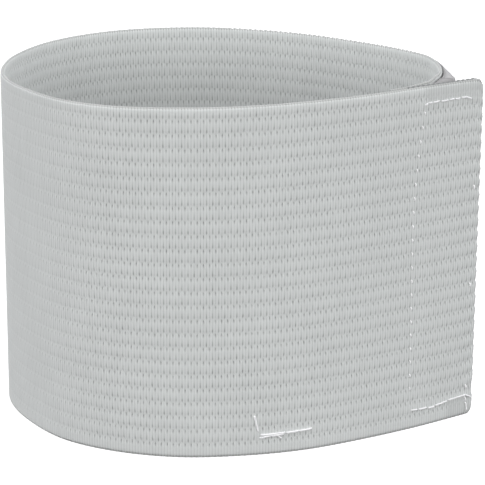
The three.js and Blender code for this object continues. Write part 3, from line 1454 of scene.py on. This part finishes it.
@dataclass
class Selvedge:
    """One edge of the strip, where the weft yarns turn back in small beads."""

    name: str
    edge: Edge
    route: Route
    shift: np.ndarray
    yarn_pitch: float = WeaveRows.yarn_pitch
    half_thickness: float = 0.31
    half_height: float = 0.42
    stations_per_yarn: int = 3
    sides: int = 10
    bead: float = 0.42
    least_bead: float = 0.2
    least_unevenness: float = 0.6
    overlap: float = 0.02
    rough_start: float = 38.0
    rough_end: float = 92.0
    rough_run: float = 6.0
    hem_roughness: float = 0.5
    hem_fade: float = 1.0
    lean: float = 0.14

    def build(self, material: bpy.types.Material) -> bpy.types.Object:
        """Builds the edge.

        Args:
            material: The elastic's finish.

        Returns:
            The piece.
        """
        yarns = round(self.route.length / self.yarn_pitch)
        yarn = np.arange(yarns * self.stations_per_yarn + 1) / self.stations_per_yarn
        route = self.route.sampled(yarn / yarns * self.route.length)
        upper = self.edge is Edge.UPPER
        angle = np.linspace(0.0, 2 * math.pi, self.sides, endpoint=False)
        outward, inward = np.maximum(np.cos(angle), 0.0), np.minimum(np.cos(angle), 0.0)
        depth = ELASTIC_THICKNESS / 2 + self.half_thickness * np.sin(angle)
        reach = self.half_height - self.bead + self._beads(yarn, route.places)
        tall = reach[:, None] * outward + self.half_height * inward
        inset = self.half_height + self.overlap
        height = BAND_HEIGHT - inset if upper else inset
        points = route.surface(
            np.full(self.sides, height),
            depth,
            along=self.lean * np.sin(angle) * outward,
            rise=tall if upper else -tall,
        )
        down = np.full(tall.shape, BAND_HEIGHT - height)
        draft = Draft(self.shift)
        draft.tubes(points[None], yarn=np.broadcast_to(yarn[:, None], down.shape)[None], down=down[None])
        return draft.build(self.name, material)

    def _beads(self, yarn: np.ndarray, places: np.ndarray) -> np.ndarray:
        """How far the edge stands out: least in every other furrow, and most unevenly in its rough stretch.

        Args:
            yarn: The stations' yarn numbers.
            places: Their places along the strip.

        Returns:
            The heights, one for each station.
        """
        rng = np.random.default_rng(SEED + 11)
        numbers = np.arange(round(yarn[-1]) + 1)
        uneven = np.interp(yarn, numbers, rng.uniform(self.least_unevenness, 1.0, len(numbers)))
        started = smooth_step(self.rough_start, self.rough_start + self.rough_run, places)
        ended = smooth_step(self.rough_end, self.rough_end + self.rough_run, places)
        hem = smooth_step(-self.hem_fade, 0.0, places - self.route.length + HEM_LENGTH)
        rough = np.maximum(started * (1 - ended), self.hem_roughness * hem)
        strength = uneven * (self.least_bead + (1 - self.least_bead) * rough)
        return self.bead * (1 - strength * (1 - np.abs(np.sin(yarn * math.pi / 2))))


@dataclass
class HookTape:
    """The hook tape: a plain nylon ground with rows of small bent filaments."""

    route: Route
    shift: np.ndarray
    ground: float = 0.42
    ground_finish: TapeFinish = TapeFinish(
        colour=screen_colour(204, 206, 206),
        shade=screen_colour(186, 189, 189),
        grain=2600.0,
        grain_depth=0.05 * MM,
        roughness=0.7,
        sheen=0.1,
    )
    hook_finish: TapeFinish = TapeFinish(
        colour=screen_colour(214, 216, 216),
        shade=screen_colour(200, 203, 203),
        grain=1500.0,
        grain_depth=0.01 * MM,
        roughness=0.42,
        sheen=0.0,
    )
    row_pitch: float = 1.3
    hook_pitch: float = 1.24
    margin: float = 1.2
    hook_height: float = 0.5
    hook_reach: float = 0.42
    straight_share: float = 0.35
    bend: float = 1.12 * math.pi
    reach_spread: tuple[float, float] = (0.8, 1.1)
    height_spread: tuple[float, float] = (0.9, 1.0)
    place_spread: float = 0.12
    filament: float = 0.085
    sides: int = 4
    stations: int = 7

    def build(self) -> list[bpy.types.Object]:
        """Builds the ground and its hooks.

        Returns:
            The pieces.
        """
        ground = self.ground_finish.material("hook_ground")
        return [
            tape_ground("hook_ground", self.route, self.shift, (0.0, self.ground), ground),
            self._hooks(self.hook_finish.material("hook_filament")),
        ]

    def _hooks(self, material: bpy.types.Material) -> bpy.types.Object:
        """Builds the hooks, which lean one way and the other from row to row.

        Args:
            material: Their finish.

        Returns:
            The piece.
        """
        rng = np.random.default_rng(SEED + 21)
        places = np.arange(self.margin, self.route.length - self.margin, self.row_pitch)
        span = BAND_HEIGHT - 2 * HOOK_EDGE_MARGIN
        heights = np.arange(self.margin, span - self.margin, self.hook_pitch) / span * BAND_HEIGHT
        route = self.route.sampled(places)
        lift, side = self._hook_line()
        shape = (len(places), len(heights))
        way = np.where(np.arange(len(places)) % 2 == 0, 1.0, -1.0)[:, None]
        way = way * rng.uniform(*self.reach_spread, shape)
        tall = rng.uniform(*self.height_spread, shape)
        sway = rng.uniform(-self.place_spread, self.place_spread, shape)
        stations = [
            route.surface(heights, self.ground + up * tall, along=sway, rise=way * out)
            for up, out in zip(lift, side)
        ]
        centres = np.stack(stations, axis=2).reshape(-1, self.stations, 3)
        along = unit(np.gradient(route.points[Edge.LOWER], axis=0))
        across = np.repeat(np.append(along, np.zeros((len(places), 1)), axis=1), len(heights), axis=0)
        draft = Draft(self.shift)
        draft.tubes(tube_points(centres, across[:, None, :], self.filament, self.sides))
        return draft.build("hook_filaments", material)

    def _hook_line(self) -> tuple[np.ndarray, np.ndarray]:
        """The line of one hook: straight up from the ground, then bent over.

        Returns:
            How high and how far to the side each of its stations lies.
        """
        share = np.linspace(0.0, 1.0, self.stations)
        straight = share < self.straight_share
        bend = np.clip((share - self.straight_share) / (1 - self.straight_share), 0.0, 1.0) * self.bend
        radius = self.hook_reach / 2
        rise = self.hook_height - radius
        lift = np.where(straight, rise * share / self.straight_share, rise + radius * np.sin(bend))
        side = np.where(straight, 0.0, radius * (1 - np.cos(bend)))
        return lift, side


@dataclass
class LoopTape:
    """The loop tape: a nylon ground under a pile of fine curls.

    Inside the turn it is thicker near its upper edge, where the real one is squeezed up against the strip.
    """

    route: Route
    shift: np.ndarray
    strip: Route
    ground_depth: float = 0.42
    ground_finish: TapeFinish = TapeFinish(
        colour=screen_colour(162, 161, 161),
        shade=screen_colour(144, 143, 143),
        grain=2200.0,
        grain_depth=0.08 * MM,
        roughness=0.8,
        sheen=0.2,
    )
    pile_finish: TapeFinish = TapeFinish(
        colour=screen_colour(194, 193, 193),
        shade=screen_colour(184, 183, 183),
        grain=900.0,
        grain_depth=0.01 * MM,
        roughness=0.6,
        sheen=0.3,
    )
    filling_gap: float = 0.1
    filling_least: float = 0.5
    filling_height: float = 12.0
    curls: int = 5200
    curl_margin: float = 0.5
    curl_height: tuple[float, float] = (0.26, 0.4)
    curl_width: tuple[float, float] = (0.35, 0.8)
    curl_lean: float = 0.2
    curl_foot: float = 0.06
    filament: float = 0.05
    sides: int = 3
    stations: int = 6

    def build(self) -> list[bpy.types.Object]:
        """Builds the ground and its pile.

        Returns:
            The pieces.
        """
        depths = (self.ground_depth, LOOP_THICKNESS)
        ground = self.ground_finish.material("loop_ground")
        return [
            tape_ground("loop_ground", self.route, self.shift, depths, ground, self._filling),
            self._pile(self.pile_finish.material("loop_pile")),
        ]

    def _filling(self, route: Route, heights: np.ndarray) -> np.ndarray:
        """How much thicker the tape is inside the turn, near its upper edge.

        Args:
            route: The tape's stations.
            heights: Heights on the full strip.

        Returns:
            The extra depths, for each station and height.
        """
        extra = [self._room(route, edge)[:, None] for edge in Edge]
        start = BAND_HEIGHT - self.filling_height
        near_top = smooth_step(start, start + self.filling_height / 2, heights)
        share = heights / BAND_HEIGHT
        return (extra[0] * (1 - share) + extra[1] * share) * near_top

    def _room(self, route: Route, edge: Edge) -> np.ndarray:
        """How far behind the tape the strip lies, eased to 0 where they are close.

        Args:
            route: The tape's stations.
            edge: Which edge of both.

        Returns:
            The distances, one for each station.
        """
        inner = route.points[edge] + route.sides[edge] * LOOP_THICKNESS
        strip = self.strip.points[edge][: Plan.STRIP_STEPS // 3]
        room = np.linalg.norm(inner[:, None] - strip[None], axis=2).min(axis=1) - self.filling_gap
        eased = np.maximum(2 * room - self.filling_least, 0.0)
        return np.where(room > self.filling_least, room, eased)

    def _pile(self, material: bpy.types.Material) -> bpy.types.Object:
        """Builds the curls, each an arch of fine filament with both feet in the ground.

        Args:
            material: Their finish.

        Returns:
            The piece.
        """
        rng = np.random.default_rng(SEED + 31)
        margin, column = self.curl_margin, (self.curls, 1)
        places = np.sort(rng.uniform(margin, self.route.length - margin, self.curls))
        route = self.route.sampled(places)
        heights = rng.uniform(margin, BAND_HEIGHT - margin, column)
        tall = rng.uniform(*self.curl_height, column)
        wide = rng.uniform(*self.curl_width, column)
        turn = rng.uniform(0.0, math.pi, column)
        lean = rng.uniform(-self.curl_lean, self.curl_lean, column)
        share = np.linspace(0.0, math.pi, self.stations)
        lift = tall * np.sin(share)
        sway = -wide / 2 * np.cos(share)
        centres = route.surface(
            np.broadcast_to(heights, lift.shape),
            self.ground_depth + self.curl_foot - lift,
            along=sway * np.cos(turn) + lean * np.sin(share),
            rise=sway * np.sin(turn) - lean * np.sin(share),
        )
        normal = np.append(route.sides[Edge.LOWER], np.zeros(column), axis=1)
        across = unit(np.cross(normal, np.gradient(centres, axis=1)[:, 2]))
        draft = Draft(self.shift)
        draft.tubes(tube_points(centres, across[:, None, :], self.filament, self.sides))
        return draft.build("loop_pile", material)


def tape_ground(
    name: str,
    route: Route,
    shift: np.ndarray,
    depths: tuple[float, float],
    material: bpy.types.Material,
    filling: Callable[[Route, np.ndarray], np.ndarray] | None = None,
) -> bpy.types.Object:
    """Builds a tape's ground as a closed slab with slightly rounded edges.

    Args:
        name: The piece's name.
        route: The tape's route.
        shift: What takes plan places to the model's frame.
        depths: The depths of its outer and its inner side.
        material: Its finish.
        filling: What gives the extra depth of its inner side, if it has any.

    Returns:
        The piece.
    """
    count = round(route.length / GROUND_STATION_PITCH)
    fine = route.sampled(np.linspace(0.0, route.length, count + 1))
    heights = np.linspace(0.0, BAND_HEIGHT, GROUND_ROWS + 1)
    extra = filling(fine, heights) if filling else np.zeros((count + 1, GROUND_ROWS + 1))
    middle, half = (depths[0] + depths[1]) / 2, (depths[1] - depths[0]) / 2
    rounding = np.ones(GROUND_ROWS + 1)
    rounding[[0, -1]] = GROUND_EDGE_SHARE
    outer = fine.surface(heights, middle - half * rounding)
    inner = fine.surface(heights[::-1], (middle + half * rounding + extra)[:, ::-1])
    draft = Draft(shift)
    draft.tubes(np.concatenate([outer, inner], axis=1)[None])
    return draft.build(name, material)


@dataclass(frozen=True)
class Stitch:
    """One stitch on the front's outer face, from one place to another.

    A place is how far back from the tab's fold it lies and how high it is, in millimetres.
    """

    back: float
    height: float
    end_back: float
    end_height: float


@dataclass
class SewingThread:
    """The white thread: the seams of the tab and its hem, the hook tape's corner seam and loose tails."""

    route: Route
    fold_place: float
    shift: np.ndarray
    radius: float = 0.2
    stand: float = 0.1
    sink: float = 0.75
    dive: float = 0.45
    ply_twist: float = 1.9
    ply_depth: float = 0.16
    sides: int = 10
    step: float = 0.12
    least_steps: int = 8
    top_run: tuple[Stitch, ...] = (
        Stitch(15.6, 75.8, 14.7, 76.0),
        Stitch(14.6, 76.1, 13.5, 76.2),
        Stitch(13.3, 76.1, 11.5, 76.3),
        Stitch(11.1, 76.1, 9.1, 76.2),
        Stitch(8.9, 76.2, 7.4, 76.3),
        Stitch(7.3, 76.2, 5.8, 76.2),
        Stitch(5.6, 76.3, 4.2, 76.3),
        Stitch(4.3, 76.3, 2.7, 75.7),
    )
    bottom_run: tuple[Stitch, ...] = (
        Stitch(17.7, 4.7, 15.8, 4.5),
        Stitch(15.4, 4.4, 13.1, 4.5),
        Stitch(12.8, 4.2, 10.9, 4.3),
        Stitch(10.8, 4.4, 7.1, 4.8),
        Stitch(6.9, 4.9, 1.6, 5.1),
        Stitch(1.7, 5.1, 0.0, 4.2),
    )
    fold_dots: tuple[Stitch, ...] = (
        Stitch(1.2, 55.5, 1.2, 54.5),
        Stitch(1.4, 32.3, 1.4, 31.3),
        Stitch(1.6, 7.5, 1.6, 6.7),
        Stitch(1.7, 4.5, 1.7, 3.5),
    )
    corner_run: tuple[Stitch, ...] = (
        Stitch(57.3, 9.6, 56.4, 5.6),
        Stitch(55.9, 4.9, 50.1, 5.0),
        Stitch(56.1, 4.2, 52.9, 4.7),
        Stitch(53.4, 4.5, 50.4, 4.7),
        Stitch(50.0, 4.9, 46.9, 5.0),
        Stitch(47.0, 5.0, 43.8, 5.15),
    )
    tails: tuple[Stitch, ...] = (
        Stitch(52.5, 4.8, 50.9, 3.6),
        Stitch(1.5, 3.2, 1.2, 1.0),
    )
    corner_radius: float = 0.25
    column_count: int = 21
    column_top: float = 73.9
    column_pitch: float = 3.2
    column_back: float = 18.2
    column_lean: float = 2.7
    column_bend: float = 45.0
    column_stitch: float = 0.8
    column_radius: float = 0.19

    def build(self) -> list[bpy.types.Object]:
        """Builds the seams.

        Returns:
            The pieces.
        """
        material = ThreadFinish().material("sewing_thread")
        tab = (*self.top_run, *self.bottom_run, *self.fold_dots)
        return [
            self._seam("tab_stitches", tab, self.radius, material),
            self._seam("hem_stitches", self._column(), self.column_radius, material),
            self._seam("corner_stitches", self.corner_run, self.corner_radius, material),
            self._seam("thread_tails", self.tails, self.radius, material),
        ]

    def _column(self) -> tuple[Stitch, ...]:
        """The upright seam along the hem's edge, one short stitch on each rib.

        Returns:
            The stitches.
        """
        stitches = []
        half = self.column_stitch / 2
        for index in range(self.column_count):
            height = self.column_top - self.column_pitch * index
            share = max(height - self.column_bend, 0.0) / (self.column_top - self.column_bend)
            back = self.column_back - self.column_lean * share**2
            stitches.append(Stitch(back, height + half, back, height - half))
        return tuple(stitches)

    def _seam(
        self, name: str, stitches: tuple[Stitch, ...], radius: float, material: bpy.types.Material
    ) -> bpy.types.Object:
        """Builds a row of stitches, each a thread that rises from the cloth and dives back.

        Args:
            name: The piece's name.
            stitches: The stitches.
            radius: The thread's radius.
            material: The thread's finish.

        Returns:
            The piece.
        """
        draft = Draft(self.shift)
        for stitch in stitches:
            self._thread(draft, stitch, radius)
        return draft.build(name, material)

    def _thread(self, draft: Draft, stitch: Stitch, full_radius: float) -> None:
        """Adds one stitch.

        Args:
            draft: The mesh.
            stitch: Where it lies.
            full_radius: The thread's radius.
        """
        length = math.hypot(stitch.end_back - stitch.back, stitch.end_height - stitch.height)
        count = max(self.least_steps, round(length / self.step))
        share = np.linspace(0.0, 1.0, count + 1)
        run = share * length
        from_end = np.minimum(run, length - run)
        dive = 1.0 - smooth_step(0.0, min(self.dive, length / 3), from_end)
        depth = -self.stand + (self.stand + self.sink) * dive**2
        back = stitch.back + (stitch.end_back - stitch.back) * share
        height = stitch.height + (stitch.end_height - stitch.height) * share
        route = self.route.sampled(self.fold_place - back)
        span = (height - route.bottom) / (route.top - route.bottom) * BAND_HEIGHT
        centres = route.surface(span[:, None], depth[:, None])[:, 0]
        angle = np.linspace(0.0, 2 * math.pi, self.sides, endpoint=False)
        ply = np.abs(np.cos(angle[None, :] + run[:, None] * self.ply_twist))
        radius = full_radius * (1 - self.ply_depth * (1 - ply))
        side = np.append(route.sides[Edge.LOWER], np.zeros((len(share), 1)), axis=1)
        direction = np.gradient(centres, axis=0)
        up = np.cross(unit(direction), side)
        points = tube_points(centres[None], unit(up)[None], radius[None], self.sides)
        # How far into a groove between the plies each point lies, for the painted shade there.
        draft.tubes(points, groove=(1 - ply)[None])


@dataclass(frozen=True)
class Lamp:
    """A square soft light that faces the armband.

    Its place and its size, the length of a side, are in millimetres, and its power is in watts.
    """

    name: str
    place: tuple[float, float, float]
    size: float
    power: float
    colour: tuple[float, float, float] = (1.0, 0.985, 0.96)

    def build(self) -> None:
        """Adds the light."""
        data = bpy.data.lights.new(self.name, "AREA")
        data.size = self.size * MM
        data.energy = self.power
        data.color = self.colour
        lamp = bpy.data.objects.new(self.name, data)
        lamp.location = Vector(self.place) * MM
        aim = Vector((0.0, 0.0, BAND_HEIGHT / 2 * MM)) - lamp.location
        lamp.rotation_euler = aim.to_track_quat("-Z", "Y").to_euler()
        bpy.context.scene.collection.objects.link(lamp)


@dataclass(frozen=True)
class Studio:
    """The camera at the photograph's angle, a pale floor and soft light.

    The sky's steps are heights of a direction, from -1 straight down to 1 straight up.
    """

    shift: np.ndarray
    camera_away: float = 461.2
    camera_height: float = 191.2
    pitch: float = 17.0
    lens: float = 165.96
    floor_half: float = 40000.0
    floor_colour: tuple[float, ...] = screen_colour(160, 160, 160)
    floor_light: tuple[float, ...] = screen_colour(255, 255, 255)
    floor_glow: float = 0.95
    floor_roughness: float = 0.9
    sky_colour: tuple[float, ...] = screen_colour(252, 252, 255)
    sky_side: float = 1.94
    sky_above: float = 1.2
    sky_below: float = 0.04
    horizon: tuple[float, float] = (-0.04, 0.03)
    upper_sky: tuple[float, float] = (0.12, 0.42)
    lamps: tuple[Lamp, ...] = (
        Lamp("key_light", (-700.0, -1200.0, 420.0), 900.0, 3.5),
        Lamp("fill_light", (900.0, -1100.0, 420.0), 900.0, 2.3),
    )

    def build(self) -> None:
        """Places the camera, the floor and the lights."""
        self._camera()
        self._floor()
        self._world()
        for lamp in self.lamps:
            lamp.build()

    def _camera(self) -> None:
        """Adds the camera."""
        data = bpy.data.cameras.new("camera")
        data.lens = self.lens
        camera = bpy.data.objects.new("camera", data)
        place = np.array([0.0, -self.camera_away, self.camera_height]) + self.shift
        camera.location = Vector(place * MM)
        camera.rotation_euler = (math.radians(90.0 - self.pitch), 0.0, 0.0)
        bpy.context.scene.collection.objects.link(camera)
        bpy.context.scene.camera = camera

    def _floor(self) -> None:
        """Adds the floor."""
        half = self.floor_half * MM
        corners = [(-half, -half, 0.0), (half, -half, 0.0), (half, half, 0.0), (-half, half, 0.0)]
        mesh = bpy.data.meshes.new("floor")
        mesh.from_pydata(corners, [], [(0, 1, 2, 3)])
        surface = {
            "Base Color": self.floor_colour,
            "Roughness": self.floor_roughness,
            "Emission Color": self.floor_light,
            "Emission Strength": self.floor_glow,
            "Specular IOR Level": 0.0,
        }
        mesh.materials.append(Shader.named("floor_paper").finish(surface))
        floor = bpy.data.objects.new("floor", mesh)
        floor.visible_diffuse = False
        bpy.context.scene.collection.objects.link(floor)

    def _world(self) -> None:
        """Lights the scene softly from all around, most from the sides."""
        shader = Shader(bpy.data.worlds.new("soft_white"))
        direction = shader.value("ShaderNodeTexCoord", {}, {}, "Generated")
        height = shader.value("ShaderNodeSeparateXYZ", {}, {"Vector": direction}, "Z")
        risen = height.step(*self.horizon) * (self.sky_side - self.sky_below) + self.sky_below
        light = risen - height.step(*self.upper_sky) * (self.sky_side - self.sky_above)
        inputs = {"Color": self.sky_colour, "Strength": light}
        background = shader.value("ShaderNodeBackground", {}, inputs)
        shader.node("ShaderNodeOutputWorld", {}, {"Surface": background})
        bpy.context.scene.world = shader.owner
        bpy.context.scene.view_settings.view_transform = "Standard"


def report(piece: bpy.types.Object, slot: str, *nodes: str) -> None:
    """Ties a piece to the model and logs it.

    Args:
        piece: The piece.
        slot: Not used.
        nodes: The solids that it stands for.
    """
    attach(piece, BODY)
    if nodes:
        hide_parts(*nodes)
    triangles = sum(len(face.vertices) - 2 for face in piece.data.polygons)
    LOG.info("%s: %d triangles", piece.name, triangles)


def main() -> None:
    """Builds the armband and its studio."""
    logging.basicConfig(level=logging.INFO, format="%(message)s")
    plan = Plan()
    route = plan.elastic_route()
    shift = plan.shift(route)
    LOG.info("shift %s, strip %.1f mm", shift, route.length)
    Studio(shift).build()
    tab_fold = plan.strip[Edge.LOWER].length
    finish = ElasticFinish(seam_place=tab_fold - TAB_SEAM_LENGTH)
    outer, inner = ElasticStrip(route, shift, finish, tab_fold + HEM_DEPTH / 2).build()
    # The selvedge's yarn is a little warmer, and its ground paints it darker than the faces: painted shade
    # on the rim, which faces up into the light. hem_shade adds painted shade on the hem's rim.
    rim = replace(finish, yarn=screen_colour(209, 211, 208), ground=0.42, hem_shade=0.4)
    material = rim.material("elastic_selvedge")
    edges = [
        Selvedge("upper_selvedge", Edge.UPPER, route, shift).build(material),
        Selvedge("lower_selvedge", Edge.LOWER, route, shift).build(material),
    ]
    hook = HookTape(plan.hook_route(), shift).build()
    loop = LoopTape(plan.loop_route(), shift, route).build()
    thread = SewingThread(route, tab_fold, shift).build()
    for piece in (outer, inner, *edges):
        report(piece, "woven_elastic", "elastic_band")
    for piece in hook:
        report(piece, "hook_fabric", "hook_tape")
    for piece in loop:
        report(piece, "loop_fabric", "loop_tape")
    for piece in thread:
        report(piece, "sewing_thread")
    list(thread)


if __name__ == "__main__":
    main()
